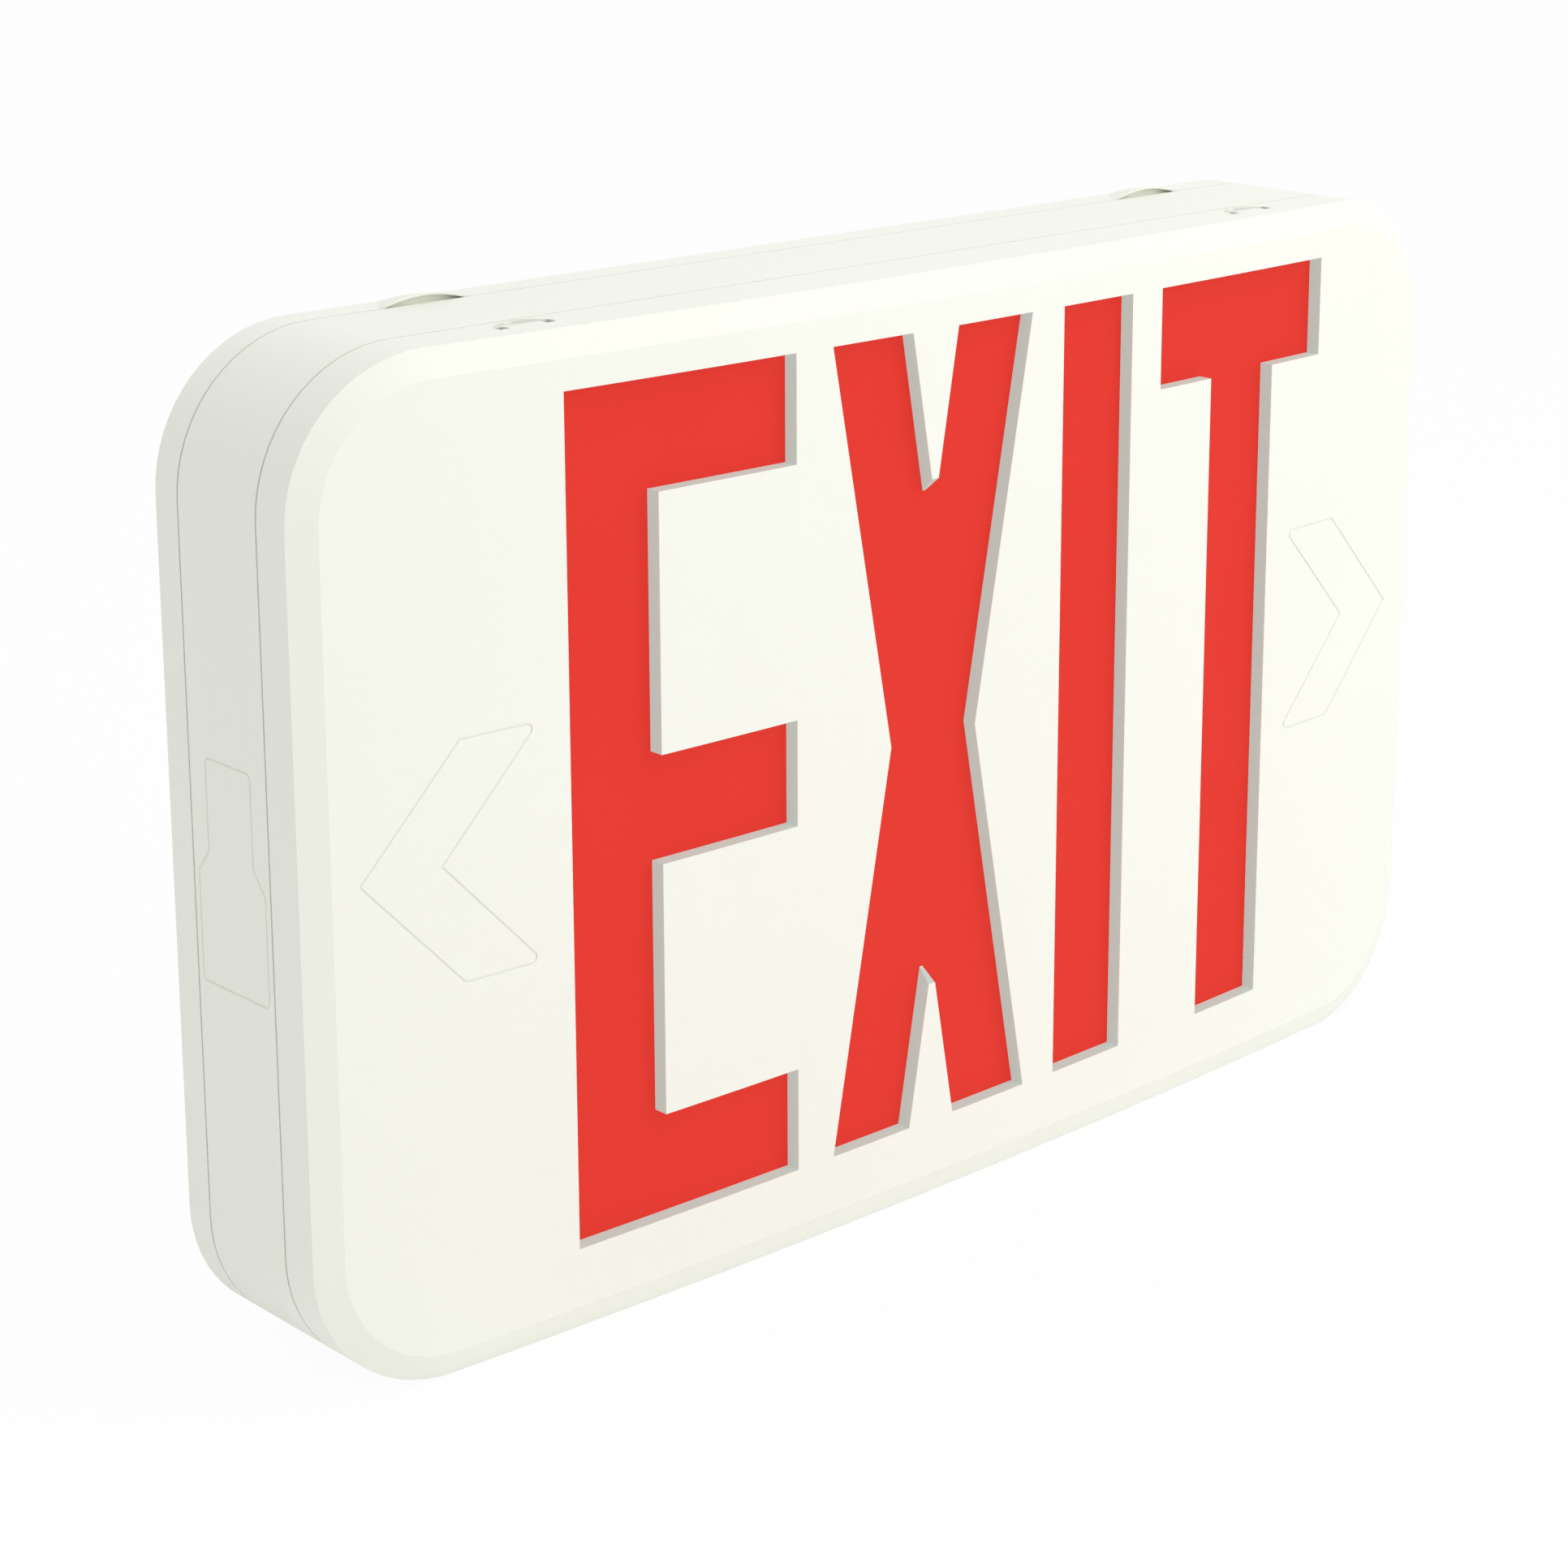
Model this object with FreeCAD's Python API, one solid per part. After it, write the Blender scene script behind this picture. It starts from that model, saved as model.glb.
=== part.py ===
import FreeCAD
import Part
import math
import os

# Wall-mounted LED exit sign, in millimetres.
# +X is the reader's right, +Z is up and the stencil face looks along -Y.
# The origin is on the wall, on the axis of the wire entry in the back plate.
# From back to front the sign is a back plate, a middle frame and a front cover, which clip together.
# The middle frame holds a gear tray: its front is the white reflector, its rear carries the electronics.

Vec = FreeCAD.Vector
ALONG_X, ALONG_Y, ALONG_Z = Vec(1, 0, 0), Vec(0, 1, 0), Vec(0, 0, 1)
EPS = 0.5               # how far a cutter runs past the face it cuts

# ---- Outline that the three shells share
WIDTH = 283.0
HEIGHT = 178.3
CORNER_RADIUS = 26.5
SHELL_WALL = 2.5

# ---- Depths, counted from the wall
BACK_RIM_DEPTH = 6.2
FRAME_DEPTH = 21.95
COVER_DEPTH = 14.95     # at the top of the crown
SEAM_GAP = 0.4
BACK_WALL = 2.2
FACE_WALL = 3.0
CROWN_RADIUS = 1930.0   # the face bows towards the reader from side to side
BEVEL_WIDTH = 4.8       # the bevel round the face, seen from the front
BEVEL_DEPTH = 2.0

# ---- Locating lips and pry notches
LIP_CLEARANCE = 0.25
LIP_THICKNESS = 1.4
LIP_LENGTH = 2.9
LIP_ROOT = 3.0
NOTCH_SPACING = 182.0   # between the two release places on the top
HOOD_WIDTH = 16.0       # the hoods over the back plate's two pry slots
HOOD_RISE = 1.15
HOOD_DEPTH = 6.0
HOOD_WALL = 0.4
PRY_SLOT_DEPTH = 1.6
PRY_SLOT_SINK = 0.2
SCOOP_WIDTH = 11.7      # the D-shaped release scoops in the cover's top, deepest at the seam
SCOOP_LENGTH = 4.5
SCOOP_DEPTH = 0.55
SCOOP_HOLE = (2.0, 2.4, 1.6)    # the blind holes at a scoop's two tips: width, length, depth

# ---- Legend cut through the cover
LETTER_HEIGHT = 152.4
LETTER_WIDTH = 50.0
STEM = 19.3
ARM = 19.8
LETTER_GAP = 8.55
LEGEND_LEFT = -89.7
LEGEND_RISE = 2.75      # the legend's centre above the outline's centre
X_WAIST = 21.5
X_APEX_DEPTH = 32.2     # where the edges of an X's crotch would meet
X_CROTCH_FRONT = 27.5   # where the crotch is cut off at the face, and deeper at the back of the wall
X_CROTCH_REAR = 30.2

# ---- Break-out chevrons, only scored into the face
CHEVRON_HALF_HEIGHT = 21.3
CHEVRON_TIP_X = 131.8
CHEVRON_NOTCH_X = 115.6
CHEVRON_SHOULDER_X = 111.9
CHEVRON_TAIL_X = 95.7
CHEVRON_TAIL_ROUND = 1.2
SCORE_WIDTH = 0.4
SCORE_DEPTH = 0.25

# ---- End-mount break-outs scored into the frame's two sides
OUTLET_HEIGHT = 39.9
OUTLET_NECK_WIDTH = 13.3
OUTLET_BODY_WIDTH = 19.7
OUTLET_RISE = 0.7
OUTLET_BODY_TOP = -0.5
OUTLET_SHOULDER = 4.1
OUTLET_CORNER = 1.4

# ---- Red legend panel and the push nuts that hold it on the cover's posts
PANEL_THICKNESS = 1.0
PANEL_INSET = 4.6
PANEL_GAP = 0.1
POST_RADIUS = 1.2
POST_INSET = 7.4
POST_END = 21.5         # from the sign's side to the outermost posts
POSTS_A_ROW = 4
POST_LENGTH = 3.6
POST_HOLE_CLEARANCE = 0.15
NUT_RADIUS = 2.9
NUT_THICKNESS = 0.5

# ---- Gear tray on the frame's ledge
LEDGE_THICKNESS = 2.0
LEDGE_INSET = 8.5
TRAY_DEPTH = 19.5       # from the wall to the tray's rear face
TRAY_THICKNESS = 1.5
TRAY_CLEARANCE = 0.35
TRAY_BOSS_RADIUS = 3.3
TRAY_BOSS_LENGTH = 7.5
TRAY_BOSS_INSET = 8.0

# ---- LED strips above and below the legend
STRIP_LENGTH = 200.0
STRIP_DEPTH = 7.5
STRIP_THICKNESS = 1.2
STRIP_INSET = 5.0
STRIP_SLOT_CLEARANCE = 0.1
LED_COUNT = 10
LED_LENGTH = 3.5
LED_WIDTH = 2.8
LED_HEIGHT = 1.9
LED_WELL_RADIUS = 1.1
LED_WELL_DEPTH = 0.4
STRIP_RIB_WIDTH = 3.0
STRIP_RIB_XS = (-80.0, 0.0, 80.0)

# ---- Control board
BOARD_WIDTH = 108.0
BOARD_HEIGHT = 58.0
BOARD_THICKNESS = 1.6
BOARD_STANDOFF = 3.0
BOARD_INSET = 23.5      # from the sign's right side to the board
BOARD_SILL = 8.0        # from the sign's underside to the board's lower edge
BOARD_HOLE_INSET = 4.0
STANDOFF_RADIUS = 3.0
BOARD_SCREW_LENGTH = 5.0

# ---- What stands on the control board: left and lower edge on the board, then its own sizes
TRANSFORMER = (36.0, 33.0, 15.0, 16.0, 9.0)         # width, depth, height
TERMINAL = (12.0, 47.0, 5.08, 8.0, 9.0)             # pole pitch, depth, height
FILM_CAPACITOR = (11.0, 36.0, 13.0, 5.0, 8.5)       # width, depth, height
CAPACITORS = (62.0, 24.0, 10.0, 4.0, 12.0)          # pitch, radius, length; the first can's axis
CHIP = (34.0, 12.0, 9.6, 6.4, 3.6)                  # width, depth, height
FUSE = (12.0, 28.0, 1.8, 9.0, 0.4)                  # radius, length, lift
BATTERY_HEADER = (9.0, 12.0)
STRIP_HEADERS = ((90.0, 24.0), (90.0, 36.0))

# ---- Test button and charge light in the underside
BUTTON_INSET = 39.5     # from the sign's right side to the button
BUTTON_RADIUS = 2.3
BUTTON_FIT = 0.08
BUTTON_TRAVEL = 1.2
BUTTON_RECESS = 0.4
BUTTON_FLANGE_RADIUS = 3.2
BUTTON_FLANGE_THICKNESS = 1.0
BUTTON_STEM_RADIUS = 1.5
BUTTON_REST_GAP = 0.3
DISH_RADIUS = 4.6
DISH_DEPTH = 0.8
SWITCH_SIZE = 6.0
SWITCH_HEIGHT = 6.5
SWITCH_SILL = 1.0       # from the board's lower edge to the switch
PLUNGER_RADIUS = 1.3
PLUNGER_FIT = 0.08
PLUNGER_REACH = 2.0     # how far the plunger stands out of the switch
PLUNGER_ENGAGED = 2.0
PILOT_SPACING = 16.0    # from the button to the charge light
PILOT_RADIUS = 1.5
PILOT_LENGTH = 5.2
PILOT_FIT = 0.1
PILOT_RIM = 0.4
PILOT_LEAD = 0.5
PILOT_LEAD_PITCH = 2.54

# ---- Battery pack, three AA cells in a sleeve
CELL_RADIUS = 7.2
CELL_LENGTH = 50.5
CELL_COUNT = 3
SLEEVE = 0.2
BATTERY_GAP = 25.1      # from the battery to the board
BATTERY_SILL = 17.0
CRADLE_WALL = 1.6
CRADLE_HEIGHT = 8.5
CRADLE_CLEARANCE = 0.3
STRAP_WIDTH = 9.0
STRAP_THICKNESS = 1.2
STRAP_FOOT = 8.0
STRAP_CLEARANCE = 0.2
STRAP_BOSS_HEIGHT = 4.0

# ---- Screws
SCREW_HEAD_RADIUS = 2.7
SCREW_HEAD_HEIGHT = 1.8
SCREW_CORE_RADIUS = 1.35
SCREW_LENGTH = 7.5
SCREW_PILOT_RADIUS = 1.4
SCREW_CLEARANCE = 0.2
PILOT_FLOOR = 0.8       # solid left at the blind end of a screw's pilot hole
DRIVE_WIDTH = 0.8
DRIVE_DEPTH = 0.9

# ---- Fixings in the back plate
WIRE_ENTRY_RADIUS = 11.1
OCTAGON_BOX_SPACING = 88.9
GANG_BOX_SPACING = 83.3
BOX_SCREW_RADIUS = 2.4
BOX_SLOT_LENGTH = 9.0
KEYHOLE_SPACING = 180.0
KEYHOLE_RISE = 50.0
KEYHOLE_HEAD_RADIUS = 4.5
KEYHOLE_SLOT_RADIUS = 2.3
KEYHOLE_TRAVEL = 9.0
BACK_RIB_HEIGHT = 1.5
BACK_RIB_WIDTH = 1.5

# ---- Planes worked out from the depths
TOP = HEIGHT / 2
FLOOR = -HEIGHT / 2
BACK_RIM_FRONT = -BACK_RIM_DEPTH
FRAME_REAR = BACK_RIM_FRONT - SEAM_GAP
FRAME_FRONT = FRAME_REAR - FRAME_DEPTH
COVER_REAR = FRAME_FRONT - SEAM_GAP
CROWN_Y = COVER_REAR - COVER_DEPTH
TRAY_REAR = -TRAY_DEPTH
TRAY_FRONT = TRAY_REAR - TRAY_THICKNESS
LEDGE_FRONT = TRAY_FRONT - LEDGE_THICKNESS
LIP_INSET = SHELL_WALL + LIP_CLEARANCE
LIP_INNER = LIP_INSET + LIP_THICKNESS
BOARD_FRONT = TRAY_REAR + BOARD_STANDOFF
BOARD_REAR = BOARD_FRONT + BOARD_THICKNESS
BOARD_BOTTOM = FLOOR + BOARD_SILL
BOARD_LEFT = WIDTH / 2 - BOARD_INSET - BOARD_WIDTH
BATTERY_LEFT = BOARD_LEFT - BATTERY_GAP - CELL_LENGTH - 2 * SLEEVE
BUTTON_X = WIDTH / 2 - BUTTON_INSET
BUTTON_Y = BOARD_REAR + SWITCH_SIZE / 2
PILOT_X = BUTTON_X - PILOT_SPACING
STRIP_REAR = LEDGE_FRONT - CRADLE_CLEARANCE


# ---------------------------------------------------------------- basic forms

def box(x0, x1, y0, y1, z0, z1):
    return Part.makeBox(x1 - x0, y1 - y0, z1 - z0, Vec(x0, y0, z0))


def rod(radius, start, direction, length):
    return Part.makeCylinder(radius, length, start, direction)


def fused(shapes):
    shapes = list(shapes)
    if len(shapes) == 1:
        return shapes[0]
    return shapes[0].multiFuse(shapes[1:]).removeSplitter()


def rounded_wire(x0, x1, z0, z1, radius, y):
    """A rectangle in the XZ plane whose corners are quarter circles."""
    near = radius * (1 - math.sqrt(0.5))
    corners = [
        (Vec(x1 - radius, y, z0), Vec(x1 - near, y, z0 + near), Vec(x1, y, z0 + radius)),
        (Vec(x1, y, z1 - radius), Vec(x1 - near, y, z1 - near), Vec(x1 - radius, y, z1)),
        (Vec(x0 + radius, y, z1), Vec(x0 + near, y, z1 - near), Vec(x0, y, z1 - radius)),
        (Vec(x0, y, z0 + radius), Vec(x0 + near, y, z0 + near), Vec(x0 + radius, y, z0)),
    ]
    edges = []
    for number, (start, middle, end) in enumerate(corners):
        following = corners[(number + 1) % 4][0]
        edges.append(Part.Arc(start, middle, end).toShape())
        edges.append(Part.LineSegment(end, following).toShape())
    return Part.Wire(edges)


def slab(inset, y0, y1):
    """The housing's outline, drawn in by inset, from y0 to y1."""
    half = WIDTH / 2 - inset
    wire = rounded_wire(-half, half, FLOOR + inset, TOP - inset, CORNER_RADIUS - inset, y0)
    return Part.Face(wire).extrude(Vec(0, y1 - y0, 0))


def ring(outer_inset, inner_inset, y0, y1):
    return slab(outer_inset, y0, y1).cut(slab(inner_inset, y0 - EPS, y1 + EPS))


def plate_from(points, y0, y1):
    """A flat shape given by its (x, z) corners, from y0 to y1."""
    corners = [Vec(x, y0, z) for x, z in points]
    return Part.Face(Part.makePolygon(corners + corners[:1])).extrude(Vec(0, y1 - y0, 0))


def crown_at(x, setback=0.0):
    """The face's Y at x, or that of the surface setback behind it."""
    return CROWN_Y + CROWN_RADIUS - math.sqrt((CROWN_RADIUS - setback) ** 2 - x ** 2)


def crown_block(setback, y_rear):
    """Everything between the crowned surface setback behind the face and y_rear."""
    reach = WIDTH / 2 + EPS
    low = FLOOR - EPS
    left = Vec(-reach, crown_at(reach, setback), low)
    right = Vec(reach, crown_at(reach, setback), low)
    rear_left, rear_right = Vec(-reach, y_rear, low), Vec(reach, y_rear, low)
    profile = Part.Wire([
        Part.Arc(left, Vec(0, crown_at(0, setback), low), right).toShape(),
        Part.LineSegment(right, rear_right).toShape(),
        Part.LineSegment(rear_right, rear_left).toShape(),
        Part.LineSegment(rear_left, left).toShape(),
    ])
    return Part.Face(profile).extrude(Vec(0, 0, HEIGHT + 2 * EPS))


def stadium(x, z, length, radius, direction, y0, y1):
    """A slot with round ends, centred on x, z; direction is ALONG_X or ALONG_Z."""
    half = length / 2 - radius
    centre = Vec(x, y0, z)
    ends = [rod(radius, centre + direction * side * half, ALONG_Y, y1 - y0) for side in (-1, 1)]
    if direction == ALONG_X:
        middle = box(x - half, x + half, y0, y1, z - radius, z + radius)
    else:
        middle = box(x - radius, x + radius, y0, y1, z - half, z + half)
    return fused(ends + [middle])


def pan_screw(x, z, y_seat, length):
    """A pan-head screw driven from the rear; its head sits on y_seat and its shank runs forward."""
    head = rod(SCREW_HEAD_RADIUS, Vec(x, y_seat, z), ALONG_Y, SCREW_HEAD_HEIGHT)
    rim = [edge for edge in head.Edges if edge.BoundBox.YMin > y_seat + SCREW_HEAD_HEIGHT - 0.01]
    head = head.makeFillet(SCREW_HEAD_HEIGHT * 0.5, rim)
    shank = rod(SCREW_CORE_RADIUS, Vec(x, y_seat, z), -ALONG_Y, length)
    drive_front = y_seat + SCREW_HEAD_HEIGHT - DRIVE_DEPTH
    drive_rear = y_seat + SCREW_HEAD_HEIGHT + EPS
    arm, half = SCREW_HEAD_RADIUS * 0.6, DRIVE_WIDTH / 2
    cross = fused([
        box(x - arm, x + arm, drive_front, drive_rear, z - half, z + half),
        box(x - half, x + half, drive_front, drive_rear, z - arm, z + arm),
    ])
    return fused([head, shank]).cut(cross)


# ---------------------------------------------------------------- front cover

def letter_cutters():
    """E, X, I and T as solids that cut through the cover's face."""
    low = LEGEND_RISE - LETTER_HEIGHT / 2
    high = LEGEND_RISE + LETTER_HEIGHT / 2
    pitch = LETTER_WIDTH + LETTER_GAP
    e_left = LEGEND_LEFT
    x_left = e_left + pitch
    i_left = x_left + pitch
    i_right = i_left + STEM
    t_left = i_right + LETTER_GAP
    y0, y1 = CROWN_Y - EPS, COVER_REAR - LIP_ROOT
    y_face, y_back = CROWN_Y, CROWN_Y + FACE_WALL
    x_face = letter_x(x_left, low, high, X_CROTCH_FRONT)
    x_back = letter_x(x_left, low, high, X_CROTCH_REAR)
    return [plate_from(letter_e(e_left, low, high), y0, y1),
            plate_from(x_face, y0, y_face), lofted(x_face, y_face, x_back, y_back), plate_from(x_back, y_back, y1),
            plate_from([(i_left, low), (i_right, low), (i_right, high), (i_left, high)], y0, y1),
            plate_from(letter_t(t_left, low, high), y0, y1)]


def lofted(front_points, y_front, back_points, y_back):
    wires = []
    for points, y in ((front_points, y_front), (back_points, y_back)):
        corners = [Vec(x, y, z) for x, z in points]
        wires.append(Part.makePolygon(corners + corners[:1]))
    return Part.makeLoft(wires, True, True)


def letter_e(left, low, high):
    inner, right = left + STEM, left + LETTER_WIDTH
    middle = (low + high) / 2
    return [(left, low), (right, low), (right, low + ARM), (inner, low + ARM),
            (inner, middle - ARM / 2), (right, middle - ARM / 2),
            (right, middle + ARM / 2), (inner, middle + ARM / 2),
            (inner, high - ARM), (right, high - ARM), (right, high), (left, high)]


def letter_x(left, low, high, crotch_depth):
    right = left + LETTER_WIDTH
    centre, middle = (left + right) / 2, (low + high) / 2
    waist = X_WAIST / 2
    crotch = (LETTER_WIDTH / 2 - STEM) * (1 - crotch_depth / X_APEX_DEPTH)
    return [(left, low), (left + STEM, low), (centre - crotch, low + crotch_depth),
            (centre + crotch, low + crotch_depth), (right - STEM, low), (right, low),
            (centre + waist, middle), (right, high), (right - STEM, high),
            (centre + crotch, high - crotch_depth), (centre - crotch, high - crotch_depth),
            (left + STEM, high), (left, high), (centre - waist, middle)]


def letter_t(left, low, high):
    right = left + LETTER_WIDTH
    stem_left = (left + right - STEM) / 2
    stem_right = stem_left + STEM
    return [(stem_left, low), (stem_right, low), (stem_right, high - ARM), (right, high - ARM),
            (right, high), (left, high), (left, high - ARM), (stem_left, high - ARM)]


def scored_band(plate, y0, y1):
    """The line scored round the edge of a flat plate that spans y0 to y1."""
    edge_face = min(plate.Faces, key=lambda face: face.CenterOfMass.y)
    inner_wire = edge_face.OuterWire.makeOffset2D(-SCORE_WIDTH)
    inner = Part.Face(inner_wire).extrude(Vec(0, y1 - y0, 0))
    return plate.cut(inner)


def chevron(side, y0, y1):
    """The arrowhead on one side of the legend, with its tail corners rounded."""
    half = CHEVRON_HALF_HEIGHT
    shape = [(CHEVRON_TIP_X, 0.0), (CHEVRON_SHOULDER_X, half), (CHEVRON_TAIL_X, half),
             (CHEVRON_NOTCH_X, 0.0), (CHEVRON_TAIL_X, -half), (CHEVRON_SHOULDER_X, -half)]
    plate = plate_from([(side * x, z + LEGEND_RISE) for x, z in shape], y0, y1)
    tails = [edge for edge in plate.Edges
             if edge.BoundBox.YLength > 1 and abs(edge.BoundBox.Center.x) < CHEVRON_TAIL_X + 0.01]
    return plate.makeFillet(CHEVRON_TAIL_ROUND, tails)


def post_places():
    first = POST_END - WIDTH / 2
    pitch = -2 * first / (POSTS_A_ROW - 1)
    for number in range(POSTS_A_ROW):
        for z in (FLOOR + POST_INSET, TOP - POST_INSET):
            yield first + pitch * number, z


def cover_shell():
    """The crowned, bevelled box that is open at the rear."""
    outer = slab(0, CROWN_Y - EPS, COVER_REAR).common(crown_block(0, COVER_REAR))
    face_edges = [edge for edge in outer.Edges if lies_on_crown(edge)]
    outer = outer.makeChamfer(BEVEL_DEPTH, BEVEL_WIDTH, face_edges)
    hollow = slab(SHELL_WALL, CROWN_Y - EPS, COVER_REAR + EPS)
    return outer.cut(hollow.common(crown_block(FACE_WALL, COVER_REAR + EPS)))


def lies_on_crown(edge):
    samples = [edge.valueAt(edge.FirstParameter + (edge.LastParameter - edge.FirstParameter) * part)
               for part in (0.0, 0.5, 1.0)]
    return all(abs(point.y - crown_at(point.x)) < 0.01 for point in samples)


def arc_radius(chord, rise):
    return (chord ** 2 / 4 + rise ** 2) / (2 * rise)


def release_scoop(x):
    """A D-shaped dip whose arc bows towards the seam, and the blind holes at its two tips."""
    radius = arc_radius(SCOOP_WIDTH, SCOOP_LENGTH)
    chord_y = COVER_REAR - SCOOP_LENGTH
    plan = rod(radius, Vec(x, COVER_REAR - radius, TOP - SHELL_WALL), ALONG_Z, 2 * SHELL_WALL)
    corners = [Vec(x - SCOOP_WIDTH, chord_y, TOP), Vec(x - SCOOP_WIDTH, COVER_REAR, TOP - SCOOP_DEPTH),
               Vec(x - SCOOP_WIDTH, COVER_REAR, TOP + EPS), Vec(x - SCOOP_WIDTH, chord_y, TOP + EPS)]
    wedge = Part.Face(Part.makePolygon(corners + corners[:1])).extrude(ALONG_X * 2 * SCOOP_WIDTH)
    cutters = [plan.common(wedge)]
    width, length, depth = SCOOP_HOLE
    for side in (-1, 1):
        left = x + side * (SCOOP_WIDTH / 2 - width / 2) - width / 2
        cutters.append(box(left, left + width, chord_y - length / 2, chord_y + length / 2, TOP - depth, TOP + EPS))
    return cutters


def front_cover():
    root = ring(SHELL_WALL - 0.1, LIP_INNER, COVER_REAR - LIP_ROOT, COVER_REAR)
    lip = ring(LIP_INSET, LIP_INNER, COVER_REAR, COVER_REAR + LIP_LENGTH)
    posts = [rod(POST_RADIUS, Vec(x, crown_at(x, FACE_WALL) - EPS, z), ALONG_Y, POST_LENGTH + EPS)
             for x, z in post_places()]
    cover = fused([cover_shell(), root, lip] + posts)
    y0, y1 = CROWN_Y - EPS, COVER_REAR - LIP_ROOT
    skin = crown_block(0, COVER_REAR).cut(crown_block(SCORE_DEPTH, COVER_REAR + EPS))
    cutters = letter_cutters()
    cutters += [scored_band(chevron(side, y0, y1), y0, y1).common(skin) for side in (-1, 1)]
    for side in (-1, 1):
        cutters += release_scoop(side * NOTCH_SPACING / 2)
    return cover.cut(cutters)


def red_legend_panel():
    front = FACE_WALL + PANEL_GAP
    sheet = crown_block(front, COVER_REAR).cut(crown_block(front + PANEL_THICKNESS, COVER_REAR + EPS))
    sheet = slab(PANEL_INSET, CROWN_Y, COVER_REAR).common(sheet)
    holes = [rod(POST_RADIUS + POST_HOLE_CLEARANCE, Vec(x, CROWN_Y, z), ALONG_Y, COVER_DEPTH)
             for x, z in post_places()]
    return sheet.cut(holes)


def panel_push_nuts():
    nuts = []
    for x, z in post_places():
        seat = crown_at(abs(x) - NUT_RADIUS, FACE_WALL + PANEL_GAP + PANEL_THICKNESS)
        seat = max(seat, crown_at(abs(x) + NUT_RADIUS, FACE_WALL + PANEL_GAP + PANEL_THICKNESS))
        disc = rod(NUT_RADIUS, Vec(x, seat, z), ALONG_Y, NUT_THICKNESS)
        hole = rod(POST_RADIUS, Vec(x, seat - EPS, z), ALONG_Y, NUT_THICKNESS + 2 * EPS)
        nuts.append(disc.cut(hole))
    return Part.makeCompound(nuts)


# ---------------------------------------------------------------- middle frame

def tray_boss_places():
    """The tray's six screws: one in each corner and one half-way up each side."""
    swing = (CORNER_RADIUS - TRAY_BOSS_INSET) * math.sqrt(0.5)
    corner_x = WIDTH / 2 - CORNER_RADIUS + swing
    corner_z = HEIGHT / 2 - CORNER_RADIUS + swing
    places = [(sx * corner_x, sz * corner_z) for sx in (-1, 1) for sz in (-1, 1)]
    return places + [(sx * (WIDTH / 2 - TRAY_BOSS_INSET), 0.0) for sx in (-1, 1)]


def outlet_score(side):
    """The bottle-shaped break-out scored into one side of the frame."""
    middle = (FRAME_FRONT + FRAME_REAR) / 2
    neck, body, half = OUTLET_NECK_WIDTH / 2, OUTLET_BODY_WIDTH / 2, OUTLET_HEIGHT / 2
    neck_foot = OUTLET_BODY_TOP + OUTLET_SHOULDER
    shape = [(-body, -half), (body, -half), (body, OUTLET_BODY_TOP), (neck, neck_foot),
             (neck, half), (-neck, half), (-neck, neck_foot), (-body, OUTLET_BODY_TOP)]
    x_face = side * WIDTH / 2
    x_floor = x_face - side * SCORE_DEPTH
    outward = Vec(side * (SCORE_DEPTH + EPS), 0, 0)
    corners = [Vec(x_floor, middle + y, z + OUTLET_RISE) for y, z in shape]
    plate = Part.Face(Part.makePolygon(corners + corners[:1])).extrude(outward)
    square = [edge for edge in plate.Edges
              if edge.BoundBox.XLength > SCORE_DEPTH and abs(edge.BoundBox.ZMin - OUTLET_RISE) > half - 0.01]
    plate = plate.makeFillet(OUTLET_CORNER, square)
    outline = min(plate.Faces, key=lambda face: abs(face.CenterOfMass.x)).OuterWire
    inner = Part.Face(outline.makeOffset2D(-SCORE_WIDTH)).extrude(outward)
    return plate.cut(inner)


def strip_span(end):
    """The LED strip's two faces, as (outer z, inner z), at the floor (-1) or the top (1)."""
    outer = end * (HEIGHT / 2 - STRIP_INSET)
    return outer, outer - end * STRIP_THICKNESS


def strip_ribs(end):
    """The slotted ribs that an LED strip slides into."""
    wall = end * (HEIGHT / 2 - SHELL_WALL / 2)
    tip = end * (HEIGHT / 2 - LEDGE_INSET)
    outer, inner = strip_span(end)
    grow = end * STRIP_SLOT_CLEARANCE
    ribs = []
    for x in STRIP_RIB_XS:
        x0, x1 = x - STRIP_RIB_WIDTH / 2, x + STRIP_RIB_WIDTH / 2
        y0 = COVER_REAR + LIP_LENGTH + CRADLE_CLEARANCE
        rib = box(x0, x1, y0, LEDGE_FRONT, min(wall, tip), max(wall, tip))
        low, high = sorted((outer + grow, inner - grow))
        ribs.append(rib.cut(box(x0 - EPS, x1 + EPS, y0 - EPS, STRIP_REAR, low, high)))
    return ribs


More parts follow.
